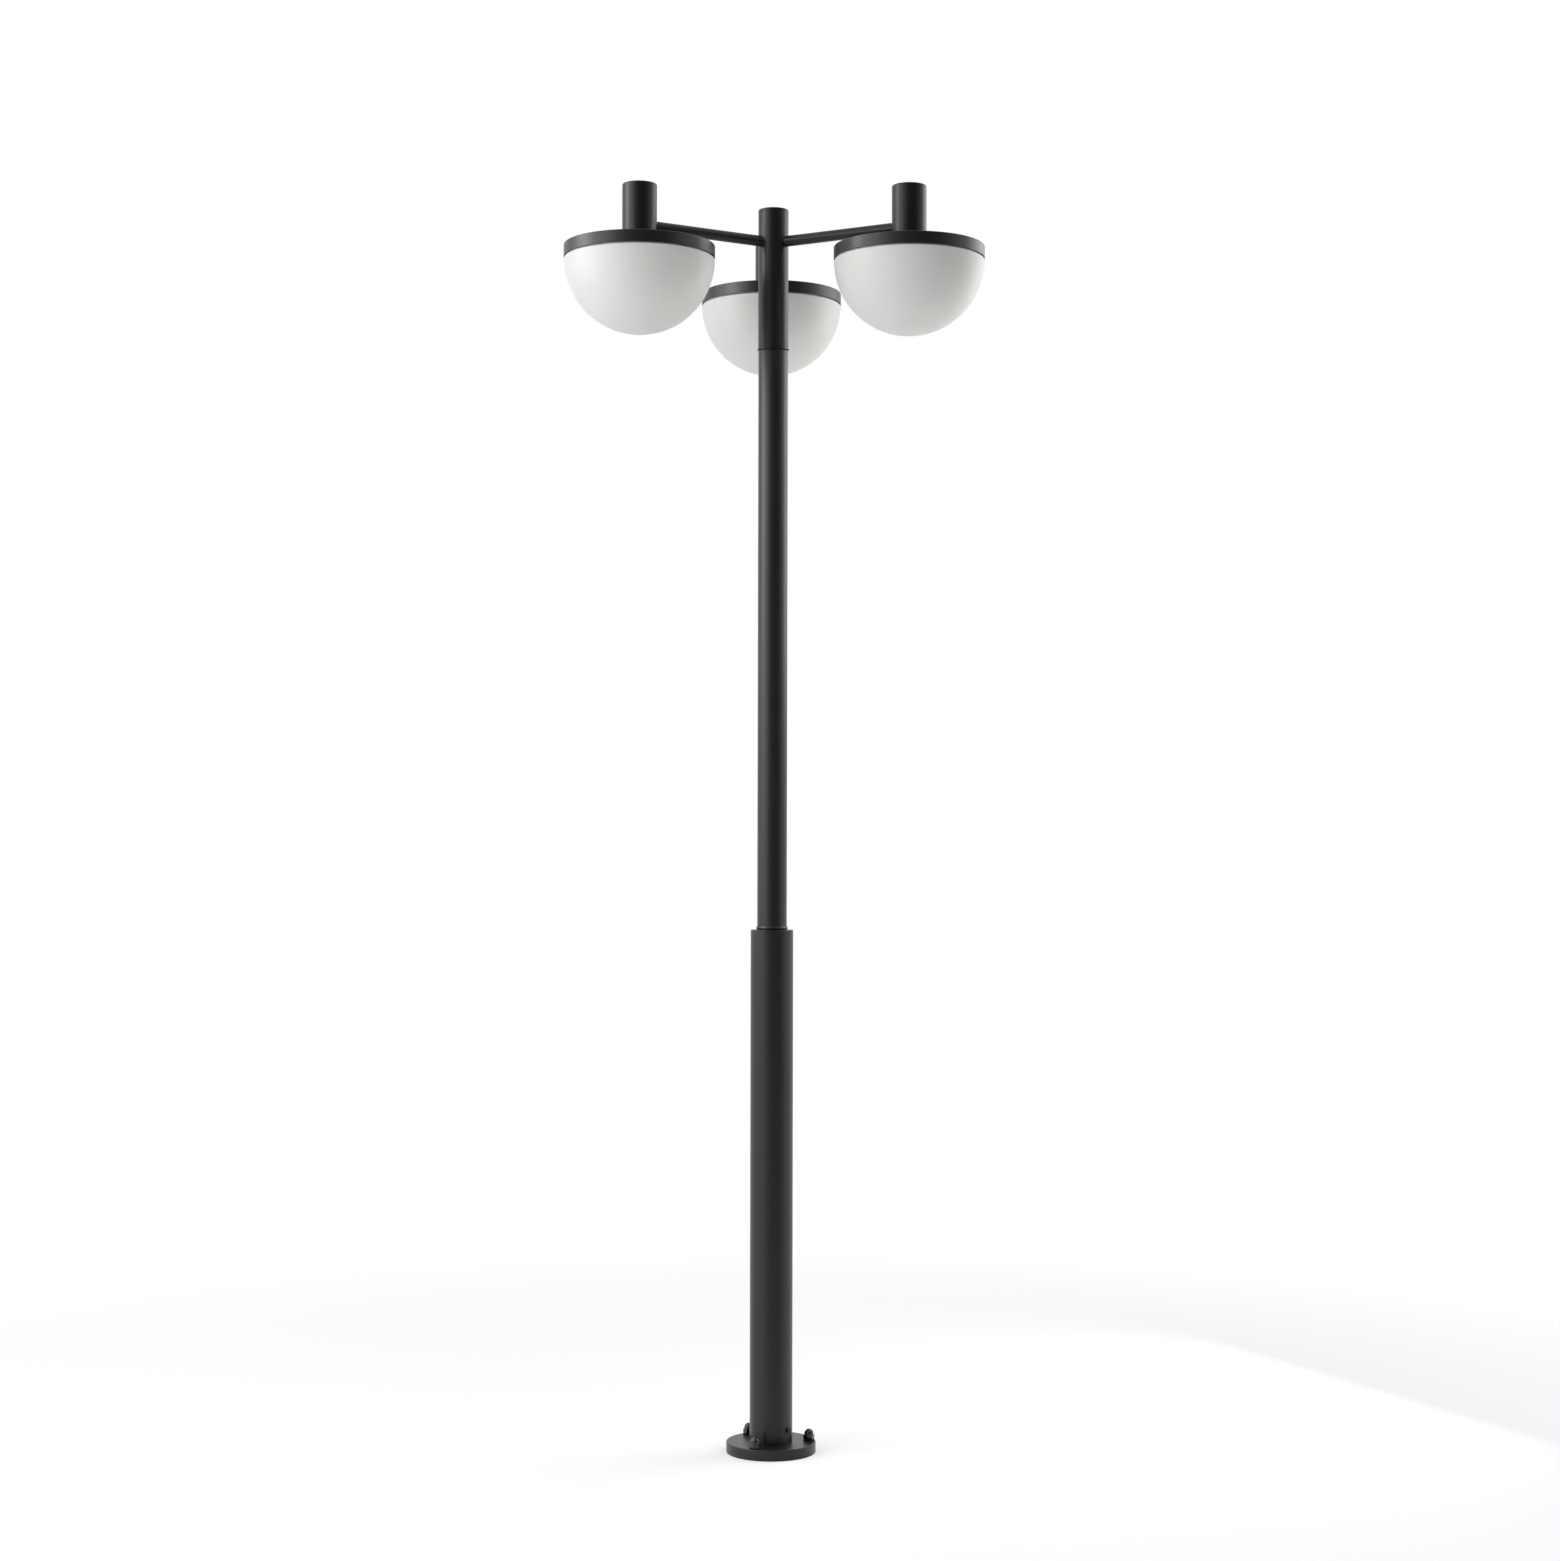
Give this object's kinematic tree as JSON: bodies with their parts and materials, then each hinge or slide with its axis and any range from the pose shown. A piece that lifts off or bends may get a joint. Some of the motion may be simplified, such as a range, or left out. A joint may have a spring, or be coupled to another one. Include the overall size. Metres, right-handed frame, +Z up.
{
  "type": "outdoor lamp post",
  "caption": "Round stepped garden lamp post on a bolted disc foot, with level arms at its top that carry hanging heads, each with a flat canopy and an opal half-sphere bowl.",
  "frame": {"origin": "centre of the anchor bolt circle on the foot's underside, on the post's axis at the ground", "axes": "+Z up along the post; +Y towards one head, the others at 210 and 330 degrees; the picture looks along +Y"},
  "size_m": [0.7242, 0.662, 2.2],
  "materials": {
    "powder_coat": "fine satin powder coat, black with a grey-green tint",
    "black_steel": "glossy black coated steel",
    "zinc_steel": "bright zinc plating",
    "rubber": "matte black rubber",
    "natural_plastic": "unfilled white nylon",
    "brass": "plain brass",
    "lead_sheath": "white heat-proof sheath",
    "opal": "satin opal acrylic",
    "porcelain": "glazed white porcelain",
    "bulb_metal": "nickel-plated screw cap",
    "bulb_opal": "satin white globe"
  },
  "bodies": {
    "post": {"base_flange": "powder_coat", "lower_tube": "powder_coat", "shoulder_cap": "powder_coat", "shoulder_collar": "powder_coat", "upper_tube": "powder_coat", "hub_plug": "powder_coat", "hub_tube": "powder_coat", "hub_cap": "powder_coat", "stem_foot_plug": "zinc_steel", "stem_top_plug": "zinc_steel", "lower_nipple": "zinc_steel", "upper_nipple": "zinc_steel", "base_washers": "black_steel", "cap_nuts": "black_steel", "tube_screws": "black_steel", "cable_bush": "rubber", "seal_ring": "rubber", "terminal_block": "natural_plastic", "terminal_screws": "zinc_steel", "earth_screw": "brass", "hub_arm_nuts": "zinc_steel", "hub_saddles": "zinc_steel", "head_arm_nuts": "zinc_steel", "head_saddles": "zinc_steel", "canopy_screws": "zinc_steel", "holder_screws": "zinc_steel", "holder_contacts": "brass", "arm_1": "powder_coat", "head_lead_1": "lead_sheath", "head_housing_1": "powder_coat", "canopy_1": "powder_coat", "bowl_gasket_1": "rubber", "lampholder_1": "porcelain", "holder_bracket_1": "zinc_steel", "arm_2": "powder_coat", "head_lead_2": "lead_sheath", "head_housing_2": "powder_coat", "canopy_2": "powder_coat", "bowl_gasket_2": "rubber", "lampholder_2": "porcelain", "holder_bracket_2": "zinc_steel", "arm_3": "powder_coat", "head_lead_3": "lead_sheath", "head_housing_3": "powder_coat", "canopy_3": "powder_coat", "bowl_gasket_3": "rubber", "lampholder_3": "porcelain", "holder_bracket_3": "zinc_steel"},
    "diffuser_1": {"bowl_1": "opal"},
    "bulb_1": {"bulb_cap_1": "bulb_metal", "bulb_globe_1": "bulb_opal"},
    "diffuser_2": {"bowl_2": "opal"},
    "bulb_2": {"bulb_cap_2": "bulb_metal", "bulb_globe_2": "bulb_opal"},
    "diffuser_3": {"bowl_3": "opal"},
    "bulb_3": {"bulb_cap_3": "bulb_metal", "bulb_globe_3": "bulb_opal"}
  },
  "joints": [
    {"name": "bowl_1_turn", "type": "hinge", "parent": "post", "child": "diffuser_1", "pos_m": [0, 0.268, 2.0715], "axis": [0, 0, -1], "range_deg": [0, 25]},
    {"name": "bulb_1_turn", "type": "hinge", "parent": "post", "child": "bulb_1", "pos_m": [0, 0.268, 2.07], "axis": [0, 0, -1], "range_deg": [0, 900]},
    {"name": "bowl_2_turn", "type": "hinge", "parent": "post", "child": "diffuser_2", "pos_m": [-0.23209, -0.134, 2.0715], "axis": [0, 0, -1], "range_deg": [0, 25]},
    {"name": "bulb_2_turn", "type": "hinge", "parent": "post", "child": "bulb_2", "pos_m": [-0.23209, -0.134, 2.07], "axis": [0, 0, -1], "range_deg": [0, 900]},
    {"name": "bowl_3_turn", "type": "hinge", "parent": "post", "child": "diffuser_3", "pos_m": [0.23209, -0.134, 2.0715], "axis": [0, 0, -1], "range_deg": [0, 25]},
    {"name": "bulb_3_turn", "type": "hinge", "parent": "post", "child": "bulb_3", "pos_m": [0.23209, -0.134, 2.07], "axis": [0, 0, -1], "range_deg": [0, 900]}
  ]
}
